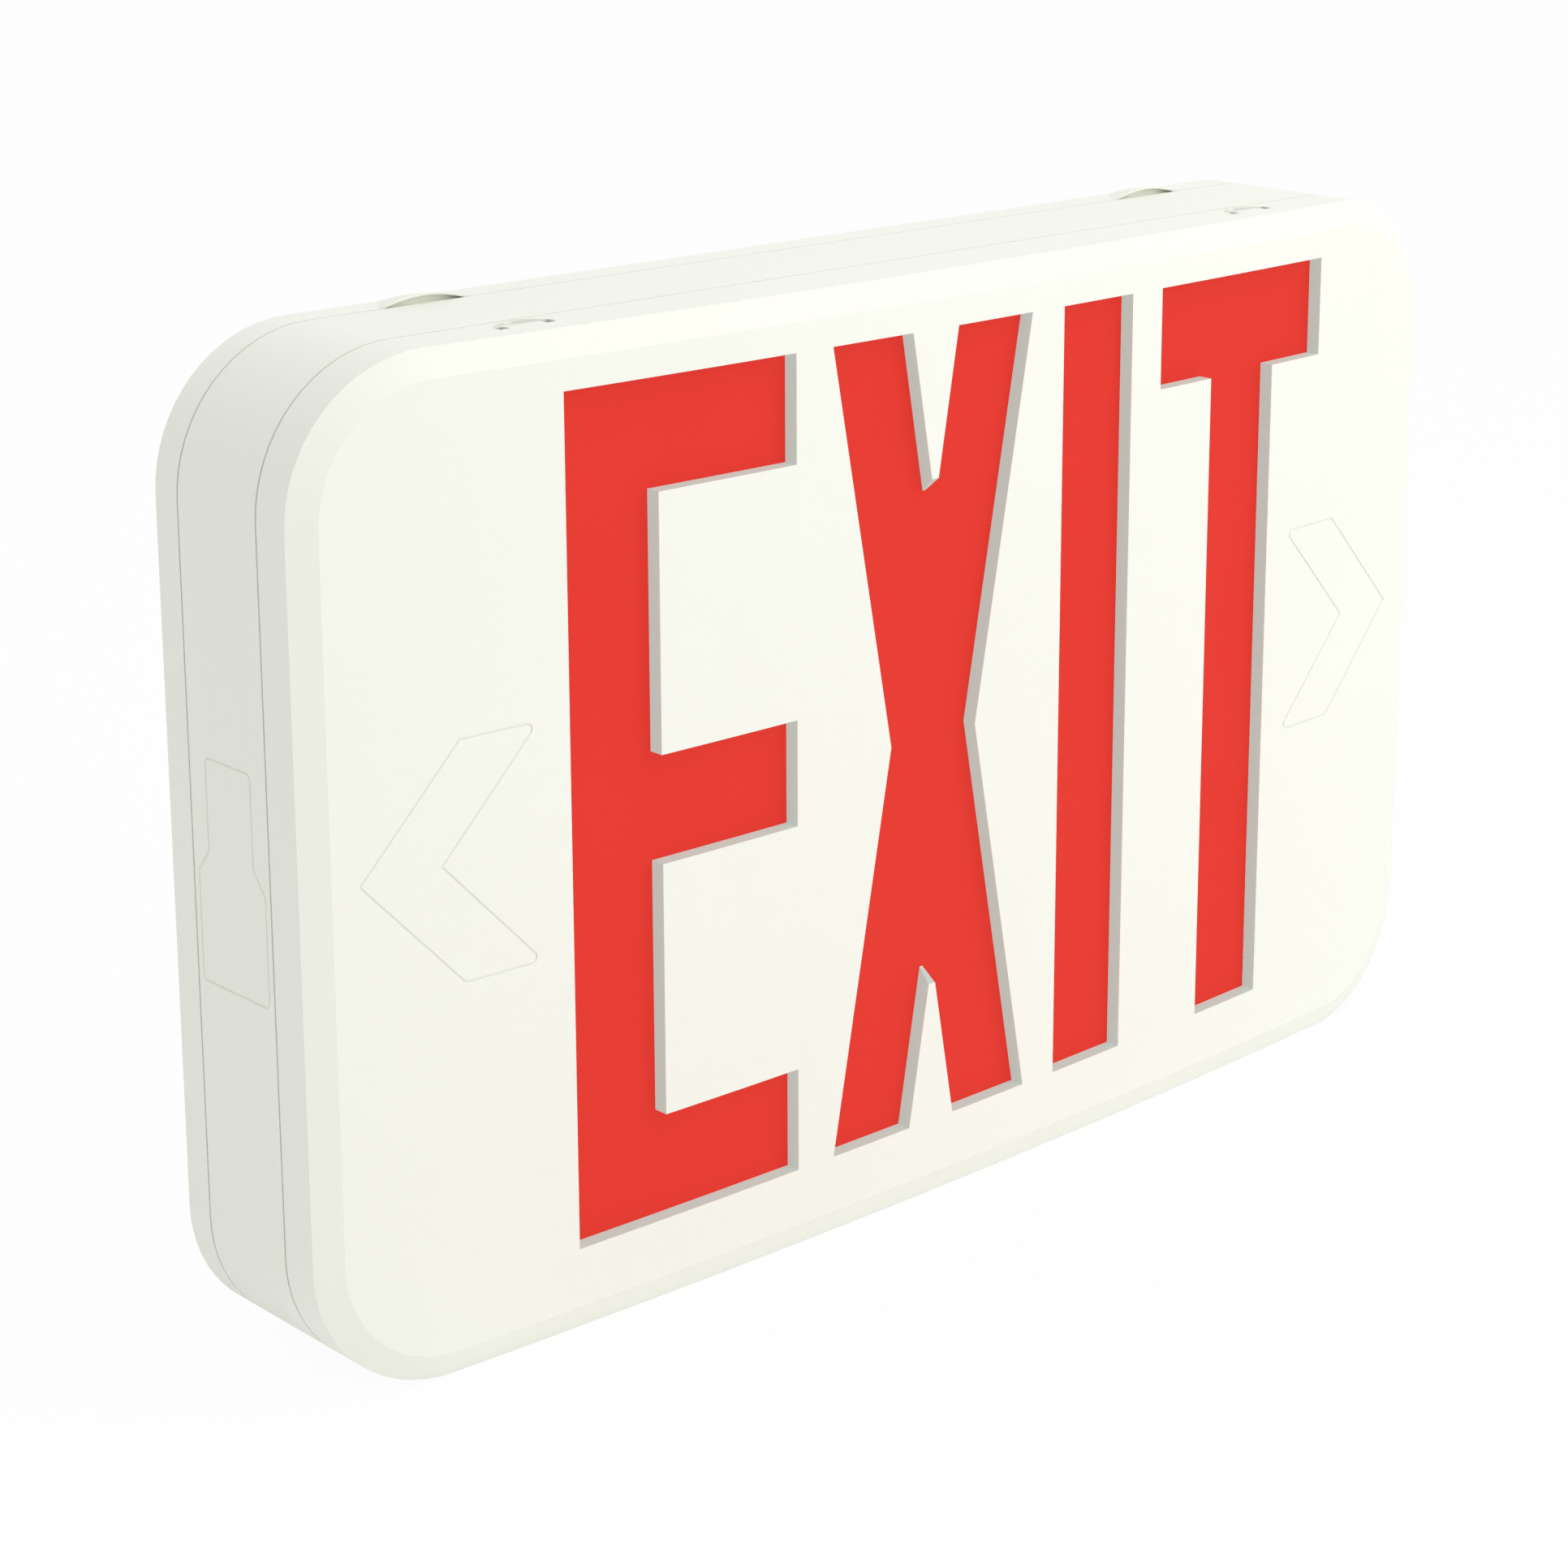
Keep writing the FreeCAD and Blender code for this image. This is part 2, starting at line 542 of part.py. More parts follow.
def middle_frame():
    wall = ring(0, SHELL_WALL, FRAME_FRONT, FRAME_REAR)
    ledge = ring(SHELL_WALL - 0.1, LEDGE_INSET, LEDGE_FRONT, TRAY_FRONT)
    root = ring(SHELL_WALL - 0.1, LIP_INNER, FRAME_REAR - LIP_ROOT, FRAME_REAR)
    lip = ring(LIP_INSET, LIP_INNER, FRAME_REAR, FRAME_REAR + LIP_LENGTH)
    bosses = [rod(TRAY_BOSS_RADIUS, Vec(x, TRAY_FRONT, z), -ALONG_Y, TRAY_BOSS_LENGTH)
              for x, z in tray_boss_places()]
    frame = fused([wall, ledge, root, lip] + bosses + strip_ribs(-1) + strip_ribs(1))
    cutters = [rod(SCREW_PILOT_RADIUS, Vec(x, TRAY_FRONT + EPS, z), -ALONG_Y,
                   TRAY_BOSS_LENGTH + EPS - PILOT_FLOOR) for x, z in tray_boss_places()]
    for side in (-1, 1):
        cutters.append(outlet_score(side))
    under, inside = Vec(BUTTON_X, BUTTON_Y, FLOOR - EPS), Vec(BUTTON_X, BUTTON_Y, FLOOR + SHELL_WALL)
    cutters.append(rod(BUTTON_RADIUS + BUTTON_FIT, under, ALONG_Z, SHELL_WALL + 2 * EPS))
    cutters.append(rod(DISH_RADIUS, under, ALONG_Z, DISH_DEPTH + EPS))
    cutters.append(rod(BUTTON_FLANGE_RADIUS + BUTTON_REST_GAP, inside, ALONG_Z, LEDGE_INSET))
    cutters.append(rod(PILOT_RADIUS + PILOT_FIT, Vec(PILOT_X, BUTTON_Y, FLOOR - EPS), ALONG_Z,
                       SHELL_WALL + 2 * EPS))
    return frame.cut(cutters)


# ---------------------------------------------------------------- back plate

def keyhole(x):
    y0, y1 = -BACK_WALL - BACK_RIB_HEIGHT - EPS, EPS
    head = rod(KEYHOLE_HEAD_RADIUS, Vec(x, y0, KEYHOLE_RISE), ALONG_Y, y1 - y0)
    length = KEYHOLE_TRAVEL + 2 * KEYHOLE_SLOT_RADIUS
    slot = stadium(x, KEYHOLE_RISE + KEYHOLE_TRAVEL / 2, length, KEYHOLE_SLOT_RADIUS, ALONG_Z, y0, y1)
    return fused([head, slot])


def hood_rod(x, wall):
    """The sloping cylinder whose top forms a hood, or the slot under it when wall is taken off."""
    radius = arc_radius(HOOD_WIDTH, HOOD_RISE)
    slope = Vec(0, HOOD_DEPTH, -HOOD_RISE)
    start = Vec(x, BACK_RIM_FRONT, TOP + HOOD_RISE - radius) - slope
    return rod(radius - wall, start, slope, 3 * HOOD_DEPTH)


def pry_hood(x):
    return hood_rod(x, 0).common(box(x - HOOD_WIDTH, x + HOOD_WIDTH, BACK_RIM_FRONT, BACK_RIM_FRONT + HOOD_DEPTH,
                                     TOP - SHELL_WALL / 2, TOP + HOOD_RISE + EPS))


def pry_slot(x):
    y0, y1 = BACK_RIM_FRONT - EPS, BACK_RIM_FRONT + PRY_SLOT_DEPTH
    return hood_rod(x, HOOD_WALL).common(box(x - HOOD_WIDTH, x + HOOD_WIDTH, y0, y1,
                                             TOP - PRY_SLOT_SINK, TOP + HOOD_RISE + EPS))


def back_plate():
    tray = slab(0, BACK_RIM_FRONT, 0).cut(slab(SHELL_WALL, BACK_RIM_FRONT - EPS, -BACK_WALL))
    y0, y1 = -BACK_WALL - BACK_RIB_HEIGHT, -BACK_WALL + 0.1
    collar = rod(WIRE_ENTRY_RADIUS + BACK_RIB_WIDTH, Vec(0, y0, 0), ALONG_Y, y1 - y0)
    half = BACK_RIB_WIDTH / 2
    ribs = [box(side * KEYHOLE_SPACING / 2 - half, side * KEYHOLE_SPACING / 2 + half, y0, y1,
                KEYHOLE_RISE - 30, TOP - 2 * LIP_INNER) for side in (-1, 1)]
    hoods = [pry_hood(side * NOTCH_SPACING / 2) for side in (-1, 1)]
    plate = fused([tray, collar] + ribs + hoods)
    y0, y1 = y0 - EPS, EPS
    cutters = [rod(WIRE_ENTRY_RADIUS, Vec(0, y0, 0), ALONG_Y, y1 - y0)]
    for side in (-1, 1):
        cutters.append(stadium(0, side * OCTAGON_BOX_SPACING / 2, BOX_SLOT_LENGTH, BOX_SCREW_RADIUS,
                               ALONG_Z, y0, y1))
        cutters.append(stadium(side * GANG_BOX_SPACING / 2, 0, BOX_SLOT_LENGTH, BOX_SCREW_RADIUS,
                               ALONG_X, y0, y1))
        cutters.append(keyhole(side * KEYHOLE_SPACING / 2))
        cutters.append(pry_slot(side * NOTCH_SPACING / 2))
    return plate.cut(cutters)


# ---------------------------------------------------------------- gear tray and battery

def board_hole_places():
    x0, x1 = BOARD_LEFT + BOARD_HOLE_INSET, BOARD_LEFT + BOARD_WIDTH - BOARD_HOLE_INSET
    z0, z1 = BOARD_BOTTOM + BOARD_HOLE_INSET, BOARD_BOTTOM + BOARD_HEIGHT - BOARD_HOLE_INSET
    return [(x, z) for x in (x0, x1) for z in (z0, z1)]


def battery_box():
    """The pack's limits as x0, x1, z0, z1."""
    z0 = FLOOR + BATTERY_SILL
    width = 2 * CELL_RADIUS * CELL_COUNT + 2 * SLEEVE
    return BATTERY_LEFT, BATTERY_LEFT + CELL_LENGTH + 2 * SLEEVE, z0, z0 + width


def battery_top():
    """The Y of the pack's rear side, which faces the wall."""
    return TRAY_REAR + 2 * (CELL_RADIUS + SLEEVE)


def strap_screw_places():
    x0, x1, z0, z1 = battery_box()
    out = CRADLE_CLEARANCE + STRAP_THICKNESS + STRAP_FOOT / 2
    return [((x0 + x1) / 2, z0 - out), ((x0 + x1) / 2, z1 + out)]


def gear_tray():
    plate = slab(LIP_INNER + TRAY_CLEARANCE, TRAY_FRONT, TRAY_REAR)
    standoffs = [rod(STANDOFF_RADIUS, Vec(x, TRAY_REAR, z), ALONG_Y, BOARD_STANDOFF)
                 for x, z in board_hole_places()]
    standoffs += [rod(STANDOFF_RADIUS, Vec(x, TRAY_REAR, z), ALONG_Y, STRAP_BOSS_HEIGHT)
                  for x, z in strap_screw_places()]
    x0, x1, z0, z1 = battery_box()
    gap, wall = CRADLE_CLEARANCE, CRADLE_WALL
    y1 = TRAY_REAR + CRADLE_HEIGHT
    cradle = box(x0 - gap - wall, x1 + gap + wall, TRAY_REAR, y1, z0 - gap - wall, z1 + gap + wall)
    cradle = cradle.cut(box(x0 - gap, x1 + gap, TRAY_REAR, y1 + EPS, z0 - gap, z1 + gap))
    middle, half = (x0 + x1) / 2, STRAP_WIDTH / 2 + gap
    strap_way = box(middle - half, middle + half, TRAY_REAR, y1 + EPS, z0 - 2 * wall, z1 + 2 * wall)
    cradle = cradle.cut(strap_way)
    tray = fused([plate, cradle] + standoffs)
    cutters = [pilot_hole(x, z, BOARD_STANDOFF) for x, z in board_hole_places()]
    cutters += [pilot_hole(x, z, STRAP_BOSS_HEIGHT) for x, z in strap_screw_places()]
    cutters += [rod(SCREW_CORE_RADIUS + SCREW_CLEARANCE, Vec(x, TRAY_FRONT - EPS, z), ALONG_Y,
                    TRAY_THICKNESS + 2 * EPS) for x, z in tray_boss_places()]
    return tray.cut(cutters)


def pilot_hole(x, z, height):
    """The blind hole down a boss of this height on the tray's rear face."""
    depth = height + TRAY_THICKNESS - PILOT_FLOOR
    return rod(SCREW_PILOT_RADIUS, Vec(x, TRAY_REAR + height + EPS, z), -ALONG_Y, depth + EPS)


def battery_pack():
    x0, x1, z0, z1 = battery_box()
    y = TRAY_REAR + CELL_RADIUS + SLEEVE
    lowest = z0 + SLEEVE + CELL_RADIUS
    cells = [rod(CELL_RADIUS + SLEEVE, Vec(x0, y, lowest + 2 * CELL_RADIUS * number), ALONG_X, x1 - x0)
             for number in range(CELL_COUNT)]
    web_half = CELL_RADIUS * 0.75
    web = box(x0, x1, y - web_half, y + web_half, z0 + CELL_RADIUS, z1 - CELL_RADIUS)
    return fused(cells + [web])


def battery_strap():
    """A bridge over the pack, with a screwed foot on a boss at each end."""
    x0, x1, z0, z1 = battery_box()
    gap, thick = CRADLE_CLEARANCE, STRAP_THICKNESS
    seat = TRAY_REAR + STRAP_BOSS_HEIGHT
    bridge = battery_top() + STRAP_CLEARANCE
    low, high = z0 - gap, z1 + gap
    profile = [(seat, low - thick - STRAP_FOOT), (seat, low), (bridge, low), (bridge, high), (seat, high),
               (seat, high + thick + STRAP_FOOT), (seat + thick, high + thick + STRAP_FOOT),
               (seat + thick, high + thick), (bridge + thick, high + thick), (bridge + thick, low - thick),
               (seat + thick, low - thick), (seat + thick, low - thick - STRAP_FOOT)]
    left = (x0 + x1 - STRAP_WIDTH) / 2
    corners = [Vec(left, y, z) for y, z in profile]
    strap = Part.Face(Part.makePolygon(corners + corners[:1])).extrude(Vec(STRAP_WIDTH, 0, 0))
    holes = [rod(SCREW_CORE_RADIUS + SCREW_CLEARANCE, Vec(x, seat - EPS, z), ALONG_Y, thick + 2 * EPS)
             for x, z in strap_screw_places()]
    return strap.cut(holes)


# ---------------------------------------------------------------- LED strips

def strip_board(end):
    z0, z1 = sorted(strip_span(end))
    return box(-STRIP_LENGTH / 2, STRIP_LENGTH / 2, STRIP_REAR - STRIP_DEPTH, STRIP_REAR, z0, z1)


def strip_leds(end):
    """The row of LED packages that shine from a strip towards the other one."""
    inner = strip_span(end)[1]
    y = STRIP_REAR - STRIP_DEPTH / 2
    pitch = STRIP_LENGTH / LED_COUNT
    packages = []
    for number in range(LED_COUNT):
        x = (number + 0.5) * pitch - STRIP_LENGTH / 2
        z0, z1 = sorted((inner, inner - end * LED_HEIGHT))
        body = box(x - LED_LENGTH / 2, x + LED_LENGTH / 2, y - LED_WIDTH / 2, y + LED_WIDTH / 2, z0, z1)
        well = rod(LED_WELL_RADIUS, Vec(x, y, inner - end * (LED_HEIGHT + EPS)), ALONG_Z * end,
                   LED_WELL_DEPTH + EPS)
        packages.append(body.cut(well))
    return Part.makeCompound(packages)


# ---------------------------------------------------------------- control board

def on_board(u, w, width, depth, height):
    """A block standing on the board's rear face; u and w count from its lower left corner."""
    x, z = BOARD_LEFT + u, BOARD_BOTTOM + w
    return box(x, x + width, BOARD_REAR, BOARD_REAR + height, z, z + depth)


def control_board():
    x1 = BOARD_LEFT + BOARD_WIDTH
    board = box(BOARD_LEFT, x1, BOARD_FRONT, BOARD_REAR, BOARD_BOTTOM, BOARD_BOTTOM + BOARD_HEIGHT)
    holes = [rod(SCREW_CORE_RADIUS + SCREW_CLEARANCE, Vec(x, BOARD_FRONT - EPS, z), ALONG_Y,
                 BOARD_THICKNESS + 2 * EPS) for x, z in board_hole_places()]
    return board.cut(holes)


def transformer():
    u, w, width, depth, height = TRANSFORMER
    core = on_board(u, w, width, depth, height)
    window = on_board(u - EPS, w + depth * 0.22, width + 2 * EPS, depth * 0.56, height * 0.7)
    middle = BOARD_REAR + height * 0.4
    coil = rod(height * 0.4 - 0.2, Vec(BOARD_LEFT + u - 1.5, middle, BOARD_BOTTOM + w + depth / 2), ALONG_X,
               width + 3.0)
    cheeks = [on_board(u + offset, w - 1.0, 1.5, depth + 2.0, height * 0.8) for offset in (-1.5, width)]
    return fused([core.cut(window), coil] + cheeks)


def mains_terminal():
    u, w, pitch, depth, height = TERMINAL
    poles = 3
    block = on_board(u, w, pitch * poles, depth, height)
    cutters = []
    for pole in range(poles):
        x = BOARD_LEFT + u + pitch * (pole + 0.5)
        z = BOARD_BOTTOM + w
        screw_seat = Vec(x, BOARD_REAR + height - 1.5, z + depth * 0.4)
        cutters.append(rod(pitch * 0.34, screw_seat, ALONG_Y, 1.5 + EPS))
        cutters.append(box(x - pitch * 0.3, x + pitch * 0.3, BOARD_REAR + 1.5, BOARD_REAR + height * 0.6,
                           z + depth * 0.6, z + depth + EPS))
    return block.cut(cutters)


def film_capacitor():
    u, w, width, depth, height = FILM_CAPACITOR
    block = on_board(u, w, width, depth, height)
    rear_edges = [edge for edge in block.Edges if edge.BoundBox.YMin > BOARD_REAR + height - 0.1]
    return block.makeFillet(0.8, rear_edges)


def electrolytic_capacitors():
    cans = []
    u, first, pitch, radius, length = CAPACITORS
    for number in range(3):
        w = first + pitch * number
        start = Vec(BOARD_LEFT + u, BOARD_REAR + radius, BOARD_BOTTOM + w)
        can = rod(radius, start, ALONG_X, length)
        groove = rod(radius + EPS, start + Vec(1.4, 0, 0), ALONG_X, 0.8)
        groove = groove.cut(rod(radius - 0.4, start, ALONG_X, length))
        cans.append(can.cut(groove))
    return Part.makeCompound(cans)


def control_chip():
    u, w, width, depth, height = CHIP
    lift = 0.5
    x, z = BOARD_LEFT + u, BOARD_BOTTOM + w
    body = box(x, x + width, BOARD_REAR + lift, BOARD_REAR + height, z, z + depth)
    legs = []
    for number in range(4):
        left = x + width * (number + 0.5) / 4 - 0.25
        for foot in (z - 0.8, z + depth - 0.2):
            legs.append(box(left, left + 0.5, BOARD_REAR, BOARD_REAR + height / 2, foot, foot + 1.0))
    mark = rod(0.8, Vec(x, BOARD_REAR + height - 0.3, z + depth / 2), ALONG_Y, 0.3 + EPS)
    return fused([body] + legs).cut(mark)


def fuse_link():
    u, w, radius, length, lift = FUSE
    x, z, y = BOARD_LEFT + u, BOARD_BOTTOM + w, BOARD_REAR + radius + lift
    body = rod(radius, Vec(x, y, z), ALONG_X, length)
    lead = 0.4
    legs = []
    for start, end in ((x - 2.0, x + 0.5), (x + length - 0.5, x + length + 2.0)):
        legs.append(box(start, end, y - lead, y + lead, z - lead, z + lead))
    for left in (x - 2.0, x + length + 2.0 - 2 * lead):
        legs.append(box(left, left + 2 * lead, BOARD_REAR, y + lead, z - lead, z + lead))
    return fused([body] + legs)


def header(u, w):
    """A two-pin lead header, open at the rear, with its two pins inside."""
    width, depth, height, wall = 7.5, 5.8, 7.0, 0.8
    shell = on_board(u, w, width, depth, height)
    x, z = BOARD_LEFT + u, BOARD_BOTTOM + w
    well = box(x + wall, x + width - wall, BOARD_REAR + 1.5, BOARD_REAR + height + EPS,
               z + wall, z + depth - wall)
    pins = []
    for offset in (-1.25, 1.25):
        left = x + width / 2 + offset - 0.3
        pins.append(box(left, left + 0.6, BOARD_REAR, BOARD_REAR + height - 1.0, z + depth / 2 - 0.3,
                        z + depth / 2 + 0.3))
    return fused([shell.cut(well)] + pins)


def battery_header():
    return header(*BATTERY_HEADER)


def strip_headers():
    return Part.makeCompound([header(*place) for place in STRIP_HEADERS])


# ---------------------------------------------------------------- test button and charge light

def switch_bottom():
    return BOARD_BOTTOM + SWITCH_SILL


def test_switch():
    half = SWITCH_SIZE / 2
    z0 = switch_bottom()
    y1 = BOARD_REAR + SWITCH_SIZE
    body = box(BUTTON_X - half, BUTTON_X + half, BOARD_REAR, y1, z0, z0 + SWITCH_HEIGHT)
    depth = PLUNGER_ENGAGED + BUTTON_TRAVEL + BUTTON_REST_GAP
    bore = rod(PLUNGER_RADIUS + PLUNGER_FIT, Vec(BUTTON_X, BUTTON_Y, z0 - EPS), ALONG_Z, depth + EPS)
    return body.cut(bore)


def switch_plunger():
    z0 = switch_bottom() - PLUNGER_REACH
    return rod(PLUNGER_RADIUS, Vec(BUTTON_X, BUTTON_Y, z0), ALONG_Z, PLUNGER_REACH + PLUNGER_ENGAGED)


def test_button():
    z0 = FLOOR + BUTTON_RECESS
    z_flange = FLOOR + SHELL_WALL + BUTTON_REST_GAP
    z_stem = z_flange + BUTTON_FLANGE_THICKNESS
    cap = rod(BUTTON_RADIUS, Vec(BUTTON_X, BUTTON_Y, z0), ALONG_Z, z_flange - z0)
    cap = cap.makeFillet(0.5, [edge for edge in cap.Edges if edge.BoundBox.ZMax < z0 + 0.01])
    flange = rod(BUTTON_FLANGE_RADIUS, Vec(BUTTON_X, BUTTON_Y, z_flange), ALONG_Z, BUTTON_FLANGE_THICKNESS)
    stem_top = switch_bottom() - PLUNGER_REACH
    stem = rod(BUTTON_STEM_RADIUS, Vec(BUTTON_X, BUTTON_Y, z_stem), ALONG_Z, stem_top - z_stem)
    return fused([cap, flange, stem])


def charge_light():
    """A 3 mm LED whose dome shows in the underside and whose leads bend to the board."""
    z_dome = FLOOR + BUTTON_RECESS + PILOT_RADIUS
    z_rim = FLOOR + BUTTON_RECESS + PILOT_LENGTH
    body = rod(PILOT_RADIUS, Vec(PILOT_X, BUTTON_Y, z_dome), ALONG_Z, z_rim - z_dome)
    dome = Part.makeSphere(PILOT_RADIUS, Vec(PILOT_X, BUTTON_Y, z_dome))
    rim = rod(PILOT_RADIUS + PILOT_RIM, Vec(PILOT_X, BUTTON_Y, z_rim - 1.0), ALONG_Z, 1.0)
    leads = []
    z_bend = BOARD_BOTTOM + SWITCH_SILL + 1.0
    for side in (-1, 1):
        x0 = PILOT_X + side * PILOT_LEAD_PITCH / 2 - PILOT_LEAD / 2
        y0, y1 = BUTTON_Y - PILOT_LEAD / 2, BUTTON_Y + PILOT_LEAD / 2
        leads.append(box(x0, x0 + PILOT_LEAD, y0, y1, z_rim - PILOT_LEAD, z_bend))
        leads.append(box(x0, x0 + PILOT_LEAD, BOARD_REAR, y1, z_bend - PILOT_LEAD, z_bend))
    return fused([body, dome, rim] + leads)


# ---------------------------------------------------------------- screws

def tray_screws():
    return Part.makeCompound([pan_screw(x, z, TRAY_REAR, SCREW_LENGTH) for x, z in tray_boss_places()])


def board_screws():
    return Part.makeCompound([pan_screw(x, z, BOARD_REAR, BOARD_SCREW_LENGTH) for x, z in board_hole_places()])


def strap_screws():
    seat = TRAY_REAR + STRAP_BOSS_HEIGHT + STRAP_THICKNESS
    return Part.makeCompound([pan_screw(x, z, seat, BOARD_SCREW_LENGTH) for x, z in strap_screw_places()])


# ---------------------------------------------------------------- every piece

PIECES = {
    "front_cover": front_cover,
    "red_legend_panel": red_legend_panel,
    "panel_push_nuts": panel_push_nuts,
    "middle_frame": middle_frame,
    "back_plate": back_plate,
    "gear_tray": gear_tray,
    "tray_screws": tray_screws,
    "lower_led_board": lambda: strip_board(-1),
    "lower_leds": lambda: strip_leds(-1),
    "upper_led_board": lambda: strip_board(1),
    "upper_leds": lambda: strip_leds(1),
    "control_board": control_board,
    "board_screws": board_screws,
    "mains_terminal": mains_terminal,
    "fuse_link": fuse_link,
    "film_capacitor": film_capacitor,
    "transformer": transformer,
    "electrolytic_capacitors": electrolytic_capacitors,
    "control_chip": control_chip,
    "battery_header": battery_header,
    "strip_headers": strip_headers,
    "battery_pack": battery_pack,
    "battery_strap": battery_strap,
    "strap_screws": strap_screws,
    "test_switch": test_switch,
    "switch_plunger": switch_plunger,
    "test_button": test_button,
    "charge_light": charge_light,
}

os.makedirs("parts", exist_ok=True)
for name, make in PIECES.items():
    shape = make()
    shape.exportStep("parts/" + name + ".step")
    print(name, shape.isValid(), len(shape.Solids), "solids", round(shape.Volume / 1000, 3), "cm3")
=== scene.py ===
import bpy
import bmesh
import math
from mathutils import Matrix, Vector


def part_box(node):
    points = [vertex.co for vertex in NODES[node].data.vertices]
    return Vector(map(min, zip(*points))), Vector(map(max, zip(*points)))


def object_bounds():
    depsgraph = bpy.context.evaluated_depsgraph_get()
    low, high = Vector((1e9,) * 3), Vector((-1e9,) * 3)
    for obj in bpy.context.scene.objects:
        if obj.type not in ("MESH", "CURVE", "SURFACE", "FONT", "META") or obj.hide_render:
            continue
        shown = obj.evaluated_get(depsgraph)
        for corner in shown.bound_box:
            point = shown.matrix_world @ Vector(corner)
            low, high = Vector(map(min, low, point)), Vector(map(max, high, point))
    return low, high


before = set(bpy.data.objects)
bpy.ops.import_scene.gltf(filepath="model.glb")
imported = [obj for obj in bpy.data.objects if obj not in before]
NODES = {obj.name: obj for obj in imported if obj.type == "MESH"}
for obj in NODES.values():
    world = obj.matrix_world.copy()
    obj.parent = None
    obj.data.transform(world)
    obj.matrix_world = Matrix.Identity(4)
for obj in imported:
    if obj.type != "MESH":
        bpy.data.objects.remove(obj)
cad_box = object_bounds()

MM = 0.001
face_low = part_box("front_cover")[0]
frame_low, frame_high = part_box("middle_frame")
sign_low, sign_high = cad_box

# Depths behind the bowed face.
CROWN_RADIUS = 1.930
WALL_FRONT = 0.10 * MM
WALL_REAR = 2.97 * MM
PANEL_MIDDLE = 3.6 * MM

# The block that holds the letters, and the scored arrows at its sides.
LEGEND_HALF_WIDTH = 0.108
LEGEND_HALF_HEIGHT = 0.083
ARROW_START = 0.0935
ARROW_HALF_HEIGHT = 0.030

# The D-shaped release scoops in the cover's top edge.
SCOOP_X = 91.0 * MM
SCOOP_REACH = 6.6 * MM
SCOOP_DEPTH = 0.55 * MM
SCOOP_SKIN = 0.04 * MM
SCOOP_FRONT = -0.0352
HOLE_FLOOR = 2.0 * MM
SEAM_GAP = 0.4 * MM
EDGE_MARGIN = 0.05 * MM

# Colours of the mouldings and the legend, as 0 to 255 display values.
HOUSING_COOL = (249, 250, 241)
HOUSING_WARM = (246, 247, 236)
TRAY_COOL = (250, 250, 248)
TRAY_WARM = (247, 247, 244)
# Painted grey shade for the legend's cut walls, and a greenish painted glow on them that cancels the red
# light they catch from the panel.
CUT_WALL_PAINTED_SHADE = (137, 137, 131)
CUT_WALL_PAINTED_GLOW = (0.31, 0.391, 0.361)
# Painted shade for the release scoops: a share of it in the dip, growing with depth, and more in the blind
# holes.
SCOOP_SHADE = (96, 96, 92)
SCOOP_DIP_SHARE = 0.3
SCOOP_HOLE_SHARE = 0.5
PANEL_BRIGHT = (232, 61, 51)
PANEL_DEEP = (230, 58, 48)
PANEL_BASE_SHARE = 0.35
# Strength of the painted glow on the panel's front, which stands in for even light on it.
PANEL_PAINTED_GLOW = 0.66
NO_GLOW = (0.0, 0.0, 0.0)

# The grain of a moulded surface, which cover and housing share.
GRAIN_SCALE = 2600.0
DRIFT_SCALE = 14.0
HOUSING_GRAIN = 0.000012
TRAY_GRAIN = 0.000006

# The transformer's laminations and coil window, and the lamps on the strips.
LAMINATION = 0.5 * MM
COIL_HALF_SHARE = 0.25
COIL_DEPTH_SHARE = 0.72
LED_COUNT = 10
LED_LENGTH = 3.5 * MM
WELL_RADIUS = 1.15 * MM
STRIP_EDGE = 6.5 * MM

# The floor and the light that is all round.
FLOOR_REACH = 6.0
FLOOR_GAP = 0.0002
FLOOR_WHITE = (0.94, 0.94, 0.94)
FLOOR_SEEN_SHARE = 0.95
AMBIENT = 0.723
PURE_WHITE = (1.0, 1.0, 1.0, 1.0)

# The camera.
LENS = 80.947
SHIFT = (-0.0756, -0.1581)
CAMERA_ANGLES = (44.046, -14.045, 0.273)
CAMERA_PLACE = (-442.80, -486.82, 196.27)


# ---------------------------------------------------------------- camera

def camera_axes(yaw, pitch, roll):
    """The camera's right, up and backward directions, for angles in degrees."""
    yaw, pitch, roll = (math.radians(angle) for angle in (yaw, pitch, roll))
    level_part = math.cos(pitch)
    forward = Vector((math.sin(yaw) * level_part, math.cos(yaw) * level_part, math.sin(pitch)))
    level = Vector((math.cos(yaw), -math.sin(yaw), 0.0))
    upright = level.cross(forward)
    right = level * math.cos(roll) + upright * math.sin(roll)
    up = upright * math.cos(roll) - level * math.sin(roll)
    return right, up, -forward


def make_camera():
    lens_data = bpy.data.cameras.new("camera")
    lens_data.lens = LENS
    lens_data.sensor_width = 36.0
    lens_data.shift_x, lens_data.shift_y = SHIFT
    lens_data.clip_start = 0.01
    lens_data.clip_end = 20.0
    camera = bpy.data.objects.new("camera", lens_data)
    right, up, backward = camera_axes(*CAMERA_ANGLES)
    place = Vector(CAMERA_PLACE) * MM
    turn = Matrix((right, up, backward)).transposed()
    camera.matrix_world = Matrix.Translation(place) @ turn.to_4x4()
    bpy.context.scene.collection.objects.link(camera)
    bpy.context.scene.camera = camera


make_camera()


# ---------------------------------------------------------------- shader maths

